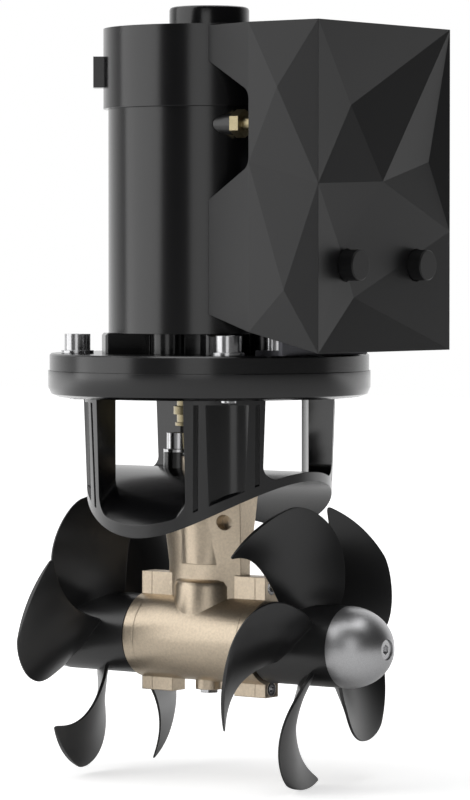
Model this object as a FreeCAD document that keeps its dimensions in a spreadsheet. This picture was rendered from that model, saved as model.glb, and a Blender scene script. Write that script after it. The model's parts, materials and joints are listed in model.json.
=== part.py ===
import FreeCAD
import Part
import math
import os
import re
import Sketcher
from FreeCAD import Placement, Rotation, Vector

# Twin-propeller electric bow thruster for a tunnel of 185 mm bore.
# Frame: origin where the propeller shaft crosses the motor axis, +X along the propeller shaft
# (which is the axis of the tunnel) towards the side that carries the electronics cover,
# +Z up the motor.  Lengths are in millimetres.

doc = FreeCAD.newDocument("BowThruster")

# ---------------------------------------------------------------------------------------------
# Driving sizes
# ---------------------------------------------------------------------------------------------
SIZES = {
    # tunnel that the thruster is clamped to
    "tunnel_radius": 92.5,          # inside of the tunnel
    "tunnel_wall": 6.5,             # gap left for the wall between leg and bracket
    # bracket casting
    "bracket_height": 149.0,        # underside of its round flange above the propeller shaft
    "bracket_flange_radius": 99.1,
    "bracket_flange_thickness": 16.0,
    "bracket_edge_round": 6.0,
    "bracket_top_radius": 77.5,     # outside of the tube just under the flange
    "bracket_foot_radius": 74.3,    # outside of the tube at its lower rim
    "bracket_cavity_radius": 61.0,
    "bracket_foot_drop": 36.0,      # how far the tube reaches below the crown of the saddle
    "saddle_thickness": 5.5,
    "side_window_width": 66.0,
    "end_window_width": 71.0,
    "window_round": 8.0,            # where the legs run into the saddle
    "flute_radius": 19.0,
    "flute_depth": 6.5,
    "flute_land": 3.0,              # plain strip left between the flutes and the flange
    "groove_width": 3.0,
    "groove_depth": 1.8,
    "groove_offset": 18.6,
    "coupling_hole_radius": 27.0,
    "saddle_boss_radius": 10.0,
    "saddle_boss_height": 9.5,
    # motor flange
    "flange_rim_offset": 0.9,       # inside the rim of the bracket's flange
    "flange_thickness": 10.5,
    "flange_bolt_offset": 17.6,     # inside the rim of the bracket's flange
    # M10 socket screws
    "screw_radius": 5.0,
    "screw_head_radius": 8.0,
    "screw_head_height": 10.0,
    "screw_socket": 4.6,
    "washer_radius": 10.0,
    "washer_thickness": 2.0,
    "flange_screw_length": 30.0,
    "saddle_screw_length": 40.0,
    "saddle_screw_offset": 23.0,
    # motor
    "bell_height": 12.5,
    "bell_pilot_radius": 40.0,
    "bell_ear_clearance": 6.1,      # to the washers of the flange screws
    "bell_ear_width": 22.0,
    "bell_boss_radius": 10.5,
    "bell_boss_offset": 41.0,
    "motor_radius": 62.0,
    "motor_wall": 5.0,
    "motor_length": 137.0,
    "band_height": 49.0,
    "band_radius": 65.0,
    "band_thickness": 1.5,
    "clasp_height": 19.0,
    "clasp_width": 16.0,
    "clasp_reach": 6.0,
    "clasp_angle": 217.0,
    "clasp_rise": 13.0,             # over the band's lower edge
    "end_plate": 10.0,
    "cap_radius": 24.5,
    "cap_height": 13.4,
    "cap_round": 2.0,
    "armature_radius": 36.5,
    "armature_end_gap": 24.5,
    "armature_shaft_radius": 8.5,
    "commutator_radius": 21.0,
    "commutator_length": 28.0,
    "pole_inner_radius": 38.0,
    "pole_end_gap": 20.5,
    "pole_gap": 12.0,
    "brush_width": 12.0,
    "brush_height": 16.0,
    "brush_length": 16.0,
    "bearing_ring_radius": 20.0,
    "bearing_width": 12.0,
    "shaft_clearance": 0.05,
    # motor terminals
    "terminal_drop": 11.0,
    "terminal_offset": 42.0,
    "terminal_radius": 4.0,
    "terminal_length": 7.5,         # bare end beyond the nut
    "terminal_collar_radius": 5.0,
    "bush_radius": 6.2,
    "bush_start": 36.0,
    "bush_length": 16.0,
    "terminal_nut_radius": 8.5,
    "terminal_nut_height": 6.5,
    # coupling
    "coupling_radius": 20.0,
    "coupling_disc_radius": 22.0,
    "coupling_disc_thickness": 5.0,
    "coupling_clearance": 7.0,      # over the heads of the saddle screws
    "coupling_flange_gap": 6.0,     # under the motor flange
    "spigot_clearance": 4.0,        # under the coupling
    "coupling_cone_radius": 13.0,
    "coupling_cone_height": 17.0,
    # gear leg
    "drive_shaft_radius": 7.5,
    "drive_shaft_bore": 9.0,
    "spigot_radius": 17.0,
    "spigot_bearing_radius": 14.0,
    "housing_radius": 26.5,
    "housing_half_length": 39.7,
    "end_cap_thickness": 7.8,
    "chamber_radius": 20.0,
    "strut_half_length": 27.6,
    "strut_top_half_length": 30.5,
    "strut_half_width": 12.0,
    "strut_top_half_width": 18.0,
    "strut_end_half_width": 4.7,
    "strut_top_end_half_width": 9.7,
    "strut_waist_height": 46.0,
    "bulge_radius": 21.5,
    "bulge_height": 36.5,
    "pinion_bearing_radius": 16.0,
    "pinion_bearing_width": 9.0,
    "pinion_bearing_height": 24.0,
    "lug_width": 13.2,
    "lug_length": 23.5,
    "lug_top": 39.6,
    "lug_bottom_drop": 34.0,
    "lug_screw_radius": 2.5,
    "lug_screw_head_radius": 4.2,
    "lug_screw_head_height": 4.5,
    "lug_screw_length": 16.0,
    "lug_screw_offset": 5.0,
    "leg_recess_radius": 4.6,
    "leg_recess_floor": 7.0,
    "leg_recess_x": 20.0,
    "leg_recess_z": 72.5,
    "drain_boss_radius": 8.5,
    "drain_boss_drop": 31.5,
    "drain_plug_radius": 4.0,
    "drain_plug_head": 2.2,
    # bevel gears
    "gear_module": 1.4,
    "crown_teeth": 27,
    "pinion_teeth": 14,
    "gear_face": 6.5,
    "gear_backlash": 0.46,
    # propeller shaft
    "shaft_radius": 8.5,
    "seal_radius": 14.0,
    "thrust_washer_radius": 20.0,
    "thrust_washer_thickness": 1.7,
    "thrust_washer_gap": 0.3,
    "shaft_end": 108.0,
    "shaft_nut_radius": 11.0,
    "shaft_nut_height": 9.0,
    "nut_pocket_clearance": 2.0,
    "drive_pin_radius": 2.5,
    "drive_pin_length": 34.0,
    "drive_pin_offset": 6.0,
    # propellers
    "propeller_radius": 87.9,
    "propeller_hub_radius": 24.8,
    "propeller_hub_length": 55.2,
    "propeller_blades": 5,
    "blade_inboard": 67.6,
    "blade_outboard": 92.9,
    "blade_root_thickness": 6.0,
    "blade_root_depth": 2.5,        # into the hub
    "blade_tip_thickness": 2.6,
    "blade_sweep": 65.7,
    "blade_tip_round": 4.0,         # corners of the tip, seen along the radius line
    "near_blade_angle": 63.0,
    "far_blade_angle": 29.0,
    "anode_length": 29.0,
    "anode_screw_radius": 3.0,
    "anode_screw_head_radius": 6.0,
    # electronics cover
    "cover_half_width": 69.0,
    "cover_corner": 80.8,
    "cover_rear": 34.0,
    "cover_rear_half_width": 50.9,
    "cover_drop": 1.5,
    "cover_clearance": 2.5,         # over the motor flange
    "cover_rise": 0.24,
    "cover_wall": 3.0,
    "cover_gap": 1.0,
    "facet_depth": 5.0,
    "facet_ridge": 3.5,
    "cutout_drop": 18.5,
    "cutout_height": 88.0,
    "cutout_shoulder": 22.0,
    "cutout_round": 8.0,
    "knob_radius": 9.2,
    "knob_length": 12.0,
    "knob_offset": 35.4,
    "knob_rise": 54.0,
    "knob_proud_height": 7.0,       # in front of the cover
    "stud_radius": 3.0,
    # contactor and its bracket
    "bracket_plate": 3.0,
    "plate_offset": 10.7,           # inside the rim of the motor flange
    "plate_half_width": 44.0,
    "plate_height": 120.0,
    "foot_length": 20.0,
    "foot_screw_offset": 12.1,      # behind the plate's front
    "foot_screw_side_offset": 12.9,
    "foot_screw_grip": 8.0,
    "contactor_depth": 33.0,
    "contactor_half_width": 27.0,
    "contactor_height": 74.0,
    "contactor_rise": 62.5,
    "contactor_gap": 7.7,           # between its front and the inside of the cover
    "contactor_stud_radius": 4.0,
    "contactor_stud_height": 14.0,
}

sheet = doc.addObject("Spreadsheet::Sheet", "Sizes")
for row, (alias, value) in enumerate(SIZES.items(), start=1):
    sheet.set("A%d" % row, alias)
    sheet.set("B%d" % row, str(value))
    sheet.setAlias("B%d" % row, alias)
doc.recompute()


def size(alias):
    """A driving size as a number, for the shapes that are worked out in this file."""
    return float(getattr(sheet, alias))


# Heights and offsets that several pieces share, as formulas of the driving sizes.
FLANGE_RADIUS = "(bracket_flange_radius - flange_rim_offset)"
FLANGE_BOLT_RADIUS = "(bracket_flange_radius - flange_bolt_offset)"
PLATE_FRONT = "(%s - plate_offset)" % FLANGE_RADIUS
COVER_FRONT = "(%s + contactor_depth + contactor_gap + cover_wall)" % PLATE_FRONT
KNOB_REACH = "(%s + knob_proud_height)" % COVER_FRONT
EAR_REACH = "(%s - washer_radius - bell_ear_clearance)" % FLANGE_BOLT_RADIUS
SADDLE = "(tunnel_radius + tunnel_wall)"
FLANGE_BOTTOM = "(bracket_height + bracket_flange_thickness)"
FLANGE_TOP = "(%s + flange_thickness)" % FLANGE_BOTTOM
MOTOR_BOTTOM = "(%s + bell_height)" % FLANGE_TOP
MOTOR_TOP = "(%s + motor_length)" % MOTOR_BOTTOM
BAND_TOP = "(%s + band_height)" % MOTOR_TOP
CAP_FACE = "(housing_half_length + end_cap_thickness)"
HUB_FACE = "(%s + thrust_washer_gap + thrust_washer_thickness)" % CAP_FACE
HUB_END = "(%s + propeller_hub_length)" % HUB_FACE
SADDLE_BOSS_TOP = "(%s + saddle_thickness + saddle_boss_height)" % SADDLE
HUB_LIP = "(%s + washer_thickness + screw_head_height + coupling_clearance)" % SADDLE_BOSS_TOP
COUPLING_FACE = "(%s + coupling_disc_thickness)" % HUB_LIP
DISC_TOP = "(%s + coupling_disc_thickness)" % COUPLING_FACE
SPIGOT_TOP = "(%s - coupling_cone_height - spigot_clearance)" % HUB_LIP
TERMINAL_LEVEL = "(%s - terminal_drop)" % MOTOR_TOP
COVER_TOP = "(%s - cover_drop)" % BAND_TOP
COVER_BASE = "(%s + cover_clearance)" % FLANGE_TOP
KNOB_LEVEL = "(%s + knob_rise)" % FLANGE_TOP
CONTACTOR_LEVEL = "(%s + contactor_rise)" % FLANGE_TOP


def formula(text):
    """Names of driving sizes become references to the sheet's cells."""
    return re.sub(r"[a-z][a-z_]*", lambda word: cell(word.group(0)), str(text))


def cell(word):
    return "Sizes." + word if word in SIZES else word


def length(text):
    """The value of a formula, read from a scratch cell of the sheet."""
    sheet.set("D1", "=" + text)
    sheet.recompute()
    return float(sheet.get("D1"))


def bind(item, **sizes):
    """Drive an object's properties; x, y and z drive its position."""
    for name, text in sizes.items():
        path = "Placement.Base." + name if name in ("x", "y", "z") else name
        item.setExpression(path, formula(text))
    return item


TURN = {
    "Z": Rotation(),
    "X": Rotation(Vector(0, 1, 0), 90),
    "-X": Rotation(Vector(0, 1, 0), -90),
    "Y": Rotation(Vector(1, 0, 0), -90),
    "-Z": Rotation(Vector(1, 0, 0), 180),
}


def primitive(kind, name, along, place, **sizes):
    item = doc.addObject(kind, name)
    item.Placement = Placement(Vector(), TURN[along])
    return bind(item, x=place[0], y=place[1], z=place[2], **sizes)


def cylinder(name, radius, height, place=(0, 0, 0), along="Z"):
    return primitive("Part::Cylinder", name, along, place, Radius=radius, Height=height)


def cone(name, radius_low, radius_high, height, place=(0, 0, 0), along="Z"):
    return primitive("Part::Cone", name, along, place,
                     Radius1=radius_low, Radius2=radius_high, Height=height)


def hexagon(name, radius, height, place=(0, 0, 0), along="Z"):
    item = primitive("Part::Prism", name, along, place, Circumradius=radius, Height=height)
    item.Polygon = 6
    return item


def box(name, length, width, height, place):
    """A box centred in X and Y on its place, standing on it in Z."""
    corner = ("%s - (%s) / 2" % (place[0], length), "%s - (%s) / 2" % (place[1], width), place[2])
    return primitive("Part::Box", name, "Z", corner, Length=length, Width=width, Height=height)


def fuse(name, *items):
    item = doc.addObject("Part::MultiFuse", name)
    item.Shapes = list(items)
    item.Refine = True
    return item


def cut(name, base, *tools):
    item = doc.addObject("Part::Cut", name)
    item.Base = base
    item.Tool = tools[0] if len(tools) == 1 else fuse(name + "_tools", *tools)
    item.Refine = True
    return item


def common(name, first, second):
    item = doc.addObject("Part::Common", name)
    item.Base = first
    item.Tool = second
    return item


def group(name, items):
    item = doc.addObject("Part::Compound", name)
    item.Links = list(items)
    return item


def outline(body, name, corners):
    """Closed sketch of straight lines on a body's XZ plane, with every corner given by formulas."""
    sketch = body.newObject("Sketcher::SketchObject", name + "_outline")
    plane = [item for item in body.Origin.OriginFeatures if item.Role == "XZ_Plane"][0]
    sketch.AttachmentSupport = [(plane, "")]
    sketch.MapMode = "FlatFace"
    count = len(corners)
    steps = [math.tau * i / count for i in range(count + 1)]
    start = [Vector(math.cos(step), math.sin(step), 0) for step in steps]
    for i in range(count):
        sketch.addGeometry(Part.LineSegment(start[i], start[i + 1]), False)
    for i in range(count):
        sketch.addConstraint(Sketcher.Constraint("Coincident", i, 2, (i + 1) % count, 1))
    for i, corner in enumerate(corners):
        for kind, text in zip(("DistanceX", "DistanceY"), corner):
            index = sketch.addConstraint(Sketcher.Constraint(kind, -1, 1, i, 1, 1.0))
            sketch.setExpression("Constraints[%d]" % index, formula(text))
    return sketch


def turned(name, profile, along="Z"):
    """A lathe part: a body whose closed profile of (radius, distance) corners is revolved."""
    body = doc.addObject("PartDesign::Body", name)
    swap = along == "X"
    sketch = outline(body, name, [corner[::-1] for corner in profile] if swap else profile)
    revolve = body.newObject("PartDesign::Revolution", name + "_revolve")
    revolve.Profile = sketch
    revolve.ReferenceAxis = (sketch, ["H_Axis" if swap else "V_Axis"])
    revolve.Angle = 360
    return body


def slab(name, corners, width):
    """A plate with a closed outline of (x, z) corners, centred on the XZ plane."""
    body = doc.addObject("PartDesign::Body", name)
    sketch = outline(body, name, corners)
    pad = body.newObject("PartDesign::Pad", name + "_pad")
    pad.Profile = sketch
    pad.Midplane = True
    pad.setExpression("Length", formula(width))
    return body


def ring(name, inner, outer, low, high, along="Z"):
    return turned(name, [(inner, low), (outer, low), (outer, high), (inner, high)], along)


def edges_of(item, keep):
    """Names of the edges of a finished object for which keep(edge) holds."""
    doc.recompute()
    return [number for number, edge in enumerate(item.Shape.Edges, start=1) if keep(edge)]


def rounded(name, item, radius, keep):
    """A fillet of one named radius over the edges for which keep(edge) holds."""
    fillet = doc.addObject("Part::Fillet", name)
    fillet.Base = item
    value = size(radius)
    fillet.Edges = [(number, value, value) for number in edges_of(item, keep)]
    return fillet


NODES = {}


def node(label, item):
    item.Label = label
    NODES[label] = item
    return item


def solid_feature(name, shape):
    item = doc.addObject("Part::Feature", name)
    item.Shape = shape
    return item


# ---------------------------------------------------------------------------------------------
# Bracket casting: round flange, four fluted legs and a saddle that lies on the tunnel
# ---------------------------------------------------------------------------------------------
DIAGONALS = (45, 135, 225, 315)
SIDES = (-1, 1)
FOOT = "(%s - bracket_foot_drop)" % SADDLE
TUBE_HEIGHT = "(bracket_height - %s)" % FOOT


def tunnel_rod(name, radius):
    """A rod along the tunnel's axis, longer than the bracket is wide."""
    return cylinder(name, radius, "4 * bracket_flange_radius",
                    ("-2 * bracket_flange_radius", 0, 0), "X")


def bracket_tube(name):
    return cone(name, "bracket_foot_radius", "bracket_top_radius", TUBE_HEIGHT, (0, 0, FOOT))


def turn_about_axis(name, angle, *items):
    """Items grouped and turned about the motor axis."""
    turned_group = group(name, items)
    turned_group.Placement = Placement(Vector(), Rotation(Vector(0, 0, 1), angle))
    return turned_group


def leg_cutters(index, angle):
    """The flute down the middle of a leg and the narrow groove on each side of it."""
    low = "%s - 5" % FOOT
    flute = cylinder("Flute%d" % index, "flute_radius", "bracket_height - (%s) - flute_land" % low,
                     ("bracket_top_radius + flute_radius - flute_depth", 0, low))
    grooves = [box("Groove%d_%d" % (index, side), "2 * groove_depth + 3", "groove_width",
                   "bracket_height - (%s) - flute_land" % low,
                   ("bracket_foot_radius - 1.5 + (bracket_top_radius - bracket_foot_radius) / 2",
                    "%d * groove_offset" % side, low))
               for side in SIDES]
    return turn_about_axis("LegCutter%d" % index, angle, flute, *grooves)


def window_rounds():
    """Hollow rounds in the window corners where the sides of the legs meet the saddle."""
    crown = "(%s + saddle_thickness)" % SADDLE
    across = "(end_window_width / 2 - window_round)"
    level = "sqrt((%s + window_round)^2 - %s^2)" % (crown, across)
    rounds = []
    for i, side in enumerate(SIDES):
        near = "%d * (side_window_width / 2 - window_round)" % side
        band = ring("SideRound%d" % i, crown + " - 1", crown + " + window_round",
                    near, "%d * (side_window_width / 2 + 0.5)" % side, "X")
        torus = primitive("Part::Torus", "SideRoundHollow%d" % i, "X", (near, 0, 0),
                          Radius1=crown + " + window_round", Radius2="window_round")
        rounds.append(cut("SideRoundCut%d" % i, band, torus))
        block = box("EndRound%d" % i, "4 * bracket_top_radius", "window_round + 0.5",
                    level + " - %s + 20" % SADDLE,
                    (0, "%d * (%s + window_round / 2 + 0.25)" % (side, across), SADDLE + " - 20"))
        hollow = cylinder("EndRoundHollow%d" % i, "window_round", "4 * bracket_top_radius + 2",
                          ("-2 * bracket_top_radius - 1", "%d * %s" % (side, across), level), "X")
        rounds.append(cut("EndRoundCut%d" % i, block, hollow))
    wall = cut("RoundWall", bracket_tube("RoundTube"),
               cylinder("RoundCavity", "bracket_cavity_radius", TUBE_HEIGHT, (0, 0, FOOT)))
    return common("WindowRounds", fuse("RoundBlanks", *rounds), wall)


def bracket_casting():
    side_window = box("SideWindow", "side_window_width", "4 * bracket_top_radius",
                      TUBE_HEIGHT, (0, 0, FOOT))
    end_window = box("EndWindow", "4 * bracket_top_radius", "end_window_width",
                     TUBE_HEIGHT, (0, 0, FOOT))
    cavity = cylinder("Cavity", "bracket_cavity_radius", TUBE_HEIGHT, (0, 0, FOOT))
    legs = cut("Legs", bracket_tube("LegTube"), side_window, end_window, cavity,
               *[leg_cutters(i, angle) for i, angle in enumerate(DIAGONALS)])
    arch = common("Arch", tunnel_rod("ArchRod", SADDLE + " + saddle_thickness"),
                  bracket_tube("ArchTube"))
    bosses = [cylinder("SaddleBoss%d" % i, "saddle_boss_radius",
                       "saddle_thickness + saddle_boss_height",
                       ("%d * saddle_screw_offset" % side, 0, SADDLE))
              for i, side in enumerate(SIDES)]
    flange = turned("BracketFlange", [
        ("0", "bracket_height"),
        ("bracket_flange_radius - bracket_edge_round", "bracket_height"),
        ("bracket_flange_radius - 0.3 * bracket_edge_round",
         "bracket_height + 0.3 * bracket_edge_round"),
        ("bracket_flange_radius", "bracket_height + bracket_edge_round"),
        ("bracket_flange_radius", FLANGE_BOTTOM),
        ("0", FLANGE_BOTTOM)])
    holes = [
        tunnel_rod("TunnelRod", SADDLE),
        cylinder("CouplingHole", "coupling_hole_radius", "bracket_flange_thickness + 2",
                 (0, 0, "bracket_height - 1")),
        cylinder("SpigotHole", "spigot_radius + shaft_clearance", "40", (0, 0, SADDLE + " - 20")),
    ]
    holes += [cylinder("SaddleHole%d" % i, "screw_radius + 0.3", "60",
                       ("%d * saddle_screw_offset" % side, 0, SADDLE + " - 20"))
              for i, side in enumerate(SIDES)]
    holes += flange_holes("BracketScrew", "bracket_height - 3", "bracket_flange_thickness + 6")
    return cut("Bracket", fuse("BracketBlank", legs, arch, flange, window_rounds(), *bosses), *holes)


def diagonal(radius, angle):
    """Formulas for the point at a radius and an angle about the motor axis."""
    return "%s * cos(%d deg)" % (radius, angle), "%s * sin(%d deg)" % (radius, angle)


def flange_holes(name, low, depth):
    holes = []
    for i, angle in enumerate(DIAGONALS):
        x, y = diagonal(FLANGE_BOLT_RADIUS, angle)
        holes.append(cylinder("%s%d" % (name, i), "screw_radius + 0.3", depth, (x, y, low)))
    return holes


def socket_screw(name, x, y, seat, length):
    """A socket head screw standing on its seat, with its shank pointing down."""
    blank = fuse(name + "Blank",
                 cylinder(name + "Head", "screw_head_radius", "screw_head_height", (x, y, seat)),
                 cylinder(name + "Shank", "screw_radius", "(%s) + 1" % length,
                          (x, y, "%s - (%s)" % (seat, length))))
    return cut(name, blank,
               hexagon(name + "Socket", "screw_socket", "screw_head_height",
                       (x, y, "%s + screw_head_height / 2" % seat)))


def washer(name, x, y, seat):
    return cut(name, cylinder(name + "Disc", "washer_radius", "washer_thickness", (x, y, seat)),
               cylinder(name + "Hole", "screw_radius + 0.3", "washer_thickness + 2",
                        (x, y, "%s - 1" % seat)))


node("bracket_casting", bracket_casting())
seat = FLANGE_TOP
points = [diagonal(FLANGE_BOLT_RADIUS, angle) for angle in DIAGONALS]
node("flange_washers", group("FlangeWashers", [
    washer("FlangeWasher%d" % i, x, y, seat) for i, (x, y) in enumerate(points)]))
node("flange_screws", group("FlangeScrews", [
    socket_screw("FlangeScrew%d" % i, x, y, seat + " + washer_thickness", "flange_screw_length")
    for i, (x, y) in enumerate(points)]))
seat = SADDLE + " + saddle_thickness + saddle_boss_height"
points = [("%d * saddle_screw_offset" % side, "0") for side in SIDES]
node("saddle_washers", group("SaddleWashers", [
    washer("SaddleWasher%d" % i, x, y, seat) for i, (x, y) in enumerate(points)]))
node("saddle_screws", group("SaddleScrews", [
    socket_screw("SaddleScrew%d" % i, x, y, seat + " + washer_thickness", "saddle_screw_length")
    for i, (x, y) in enumerate(points)]))

# ---------------------------------------------------------------------------------------------
# Motor
# ---------------------------------------------------------------------------------------------


def foot_points():
    """Where the screws of the contactor bracket go into the motor flange."""
    return [(PLATE_FRONT + " - foot_screw_offset",
             "%d * (plate_half_width - foot_screw_side_offset)" % side) for side in SIDES]


def motor_flange():
    disc = turned("FlangeDisc", [
        ("armature_shaft_radius + 4", FLANGE_BOTTOM),
        (FLANGE_RADIUS, FLANGE_BOTTOM),
        (FLANGE_RADIUS, FLANGE_TOP + " - 1"),
        (FLANGE_RADIUS + " - 1", FLANGE_TOP),
        ("armature_shaft_radius + 4", FLANGE_TOP)])
    tappings = [cylinder("FootTapping%d" % i, "screw_radius", "foot_screw_grip + 2",
                         (x, y, FLANGE_TOP + " - foot_screw_grip"))
                for i, (x, y) in enumerate(foot_points())]
    holes = flange_holes("FlangeHole", FLANGE_BOTTOM + " - 1", "flange_thickness + 2")
    return cut("Flange", disc, *(holes + tappings))


def drive_end_bell():
    """The motor's lower end: a low pilot with four ears and four round bosses."""
    height = "bell_height"
    reach = length(EAR_REACH)
    parts = [cylinder("BellPilot", "bell_pilot_radius", height, (0, 0, FLANGE_TOP))]
    for i, angle in enumerate(DIAGONALS):
        ear = box("BellEar%d" % i, EAR_REACH, "bell_ear_width", height,
                  (EAR_REACH + " / 2", 0, FLANGE_TOP))
        trimmed = doc.addObject("Part::Chamfer", "BellEarChamfer%d" % i)
        trimmed.Base = ear
        outer = edges_of(ear, lambda edge: edge.CenterOfMass.x > reach - 0.01
                         and edge.CenterOfMass.z > ear.Shape.CenterOfMass.z - 0.01)
        trimmed.Edges = [(number, 1.4, 1.4) for number in outer]
        parts.append(turn_about_axis("BellEarTurned%d" % i, angle, trimmed))
    for i, angle in enumerate((0, 90, 180, 270)):
        x, y = diagonal("bell_boss_offset", angle)
        parts.append(cylinder("BellBoss%d" % i, "bell_boss_radius", height, (x, y, FLANGE_TOP)))
    bore = cylinder("BellBore", "bearing_ring_radius", "bell_height + 2", (0, 0, FLANGE_TOP + " - 1"))
    return cut("DriveEndBell", fuse("BellBlank", *parts), bore)


def terminal_rod(name, side, radius, start, length):
    """A rod along a motor terminal; the terminals point the same way as the propeller shaft."""
    place = (start, "%d * terminal_offset" % side, TERMINAL_LEVEL)
    return cylinder(name, radius, length, place, "X")


def motor_tube():
    """Field frame, with a hole for each terminal bush."""
    tube = ring("Tube", "motor_radius - motor_wall", "motor_radius", MOTOR_BOTTOM, MOTOR_TOP)
    holes = [terminal_rod("BushHole%d" % i, side, "bush_radius", "bush_start", "bush_length")
             for i, side in enumerate(SIDES)]
    return cut("MotorTube", tube, *holes)


def brush_band():
    """Steel band over the brush openings, with the clasp that closes it."""
    band = ring("Band", "band_radius - band_thickness", "band_radius", MOTOR_TOP, BAND_TOP)
    clasp = box("Clasp", "clasp_reach + band_thickness", "clasp_width", "clasp_height",
                ("band_radius + (clasp_reach - band_thickness) / 2", 0, MOTOR_TOP + " + clasp_rise"))
    return fuse("BrushBand", band, turn_about_axis("ClaspTurned", size("clasp_angle"), clasp))


def end_bell():
    """Cup that closes the motor's upper end; the brush gear and a bearing sit in it."""
    outer = "band_radius - band_thickness"
    return turned("EndBell", [
        ("bearing_ring_radius", BAND_TOP + " - end_plate"),
        ("motor_radius - motor_wall", BAND_TOP + " - end_plate"),
        ("motor_radius - motor_wall", MOTOR_TOP),
        (outer, MOTOR_TOP),
        (outer, BAND_TOP),
        ("bearing_ring_radius", BAND_TOP)])


node("motor_flange", motor_flange())
node("drive_end_bell", drive_end_bell())
node("motor_tube", motor_tube())
node("brush_cover_band", brush_band())
node("commutator_end_bell", end_bell())
node("bearing_cap", turned("BearingCap", [
    ("0", BAND_TOP),
    ("cap_radius", BAND_TOP),
    ("cap_radius", BAND_TOP + " + cap_height - cap_round"),
    ("cap_radius - 0.3 * cap_round", BAND_TOP + " + cap_height - 0.3 * cap_round"),
    ("cap_radius - cap_round", BAND_TOP + " + cap_height"),
    ("0", BAND_TOP + " + cap_height")]))


def pole_shoes():
    """Four field magnets inside the motor tube, parted by straight gaps."""
    sleeve = ring("PoleSleeve", "pole_inner_radius", "motor_radius - motor_wall - shaft_clearance",
                  MOTOR_BOTTOM + " + pole_end_gap", MOTOR_TOP + " - pole_end_gap")
    gaps = [box("PoleGapX", "4 * motor_radius", "pole_gap", "motor_length", (0, 0, MOTOR_BOTTOM)),
            box("PoleGapY", "pole_gap", "4 * motor_radius", "motor_length", (0, 0, MOTOR_BOTTOM))]
    return cut("FieldMagnets", sleeve, *gaps)


def brush_item(name, angle, inner, length, width, height, middle):
    """A block that points at the motor axis, with its inner end at a given radius."""
    block = box(name, length, width, height,
                ("%s + (%s) / 2" % (inner, length), 0, "%s - (%s) / 2" % (middle, height)))
    return turn_about_axis(name + "Turned", angle, block)


BRUSH_MIDDLE = "(%s + band_height / 2 - 6)" % MOTOR_TOP
BRUSH_INNER = "commutator_radius + 0.1"


def brushes():
    return group("Brushes", [
        cut("Brush%d" % i,
            brush_item("BrushBlock%d" % i, angle, "commutator_radius - 3", "brush_length + 3",
                       "brush_width", "brush_height", BRUSH_MIDDLE),
            cylinder("BrushFace%d" % i, BRUSH_INNER, "band_height", (0, 0, MOTOR_TOP)))
        for i, angle in enumerate(DIAGONALS)])


def brush_holder():
    """Ring plate with four box-shaped brush guides hanging from it."""
    top = "(%s + brush_height / 2 + 3)" % BRUSH_MIDDLE
    plate = ring("HolderPlate", "commutator_radius + 4", "motor_radius - motor_wall", top,
                 top + " + 3")
    guides = []
    slots = []
    for i, angle in enumerate(DIAGONALS):
        guides.append(brush_item("Guide%d" % i, angle, "commutator_radius + 5", "brush_length",
                                 "brush_width + 5", "brush_height + 6", BRUSH_MIDDLE))
        slots.append(brush_item("GuideSlot%d" % i, angle, "commutator_radius", "brush_length + 9",
                                "brush_width + 0.4", "brush_height + 0.4", BRUSH_MIDDLE))
    return cut("BrushHolder", fuse("HolderBlank", plate, *guides), *slots)


def motor_shaft():
    """Armature shaft from the upper bearing down into the coupling."""
    return turned("MotorShaft", [
        ("0", DISC_TOP + " + 1"),
        ("armature_shaft_radius", DISC_TOP + " + 1"),
        ("armature_shaft_radius", BAND_TOP + " - 0.5"),
        ("0", BAND_TOP + " - 0.5")])


node("field_magnets", pole_shoes())
node("brushes", brushes())
node("brush_holder", brush_holder())
node("motor_shaft", motor_shaft())
node("armature_core", ring("ArmatureCore", "armature_shaft_radius", "armature_radius",
                           MOTOR_BOTTOM + " + armature_end_gap",
                           MOTOR_TOP + " - armature_end_gap"))
node("commutator", ring("Commutator", "armature_shaft_radius", "commutator_radius",
                        BRUSH_MIDDLE + " - commutator_length / 2",
                        BRUSH_MIDDLE + " + commutator_length / 2"))
SHAFT_CLEAR = "armature_shaft_radius + shaft_clearance"
node("upper_motor_bearing", ring("UpperMotorBearing", SHAFT_CLEAR, "bearing_ring_radius",
                                 BAND_TOP + " - end_plate", BAND_TOP))
node("lower_motor_bearing", ring("LowerMotorBearing", SHAFT_CLEAR, "bearing_ring_radius",
                                 FLANGE_TOP, MOTOR_BOTTOM))


NUT_FACE = "bush_start + bush_length + terminal_nut_height"


def terminal_studs():
    return group("TerminalStuds", [
        fuse("TerminalStud%d" % i,
             terminal_rod("TerminalCollar%d" % i, side, "terminal_collar_radius", "bush_start",
                          "bush_length + terminal_nut_height"),
             terminal_rod("TerminalEnd%d" % i, side, "terminal_radius", NUT_FACE,
                          "terminal_length"))
        for i, side in enumerate(SIDES)])


def terminal_bushes():
    """Insulating bushes that carry the terminals through the motor tube."""
    return group("TerminalBushes", [
        cut("TerminalBush%d" % i,
            terminal_rod("BushBlank%d" % i, side, "bush_radius", "bush_start", "bush_length"),
            terminal_rod("BushBore%d" % i, side, "terminal_collar_radius", "bush_start - 1",
                         "bush_length + 2"))
        for i, side in enumerate(SIDES)])


def terminal_nuts():
    nuts = []
    for i, side in enumerate(SIDES):
        start = "bush_start + bush_length"
        place = (start, "%d * terminal_offset" % side, TERMINAL_LEVEL)
        blank = hexagon("TerminalNutBlank%d" % i, "terminal_nut_radius", "terminal_nut_height",
                        place, "X")
        bore = terminal_rod("TerminalNutBore%d" % i, side, "terminal_collar_radius", start + " - 1",
                            "terminal_nut_height + 2")
        nuts.append(cut("TerminalNut%d" % i, blank, bore))
    return group("TerminalNuts", nuts)


node("terminal_studs", terminal_studs())
node("terminal_bushes", terminal_bushes())
node("terminal_nuts", terminal_nuts())

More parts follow.
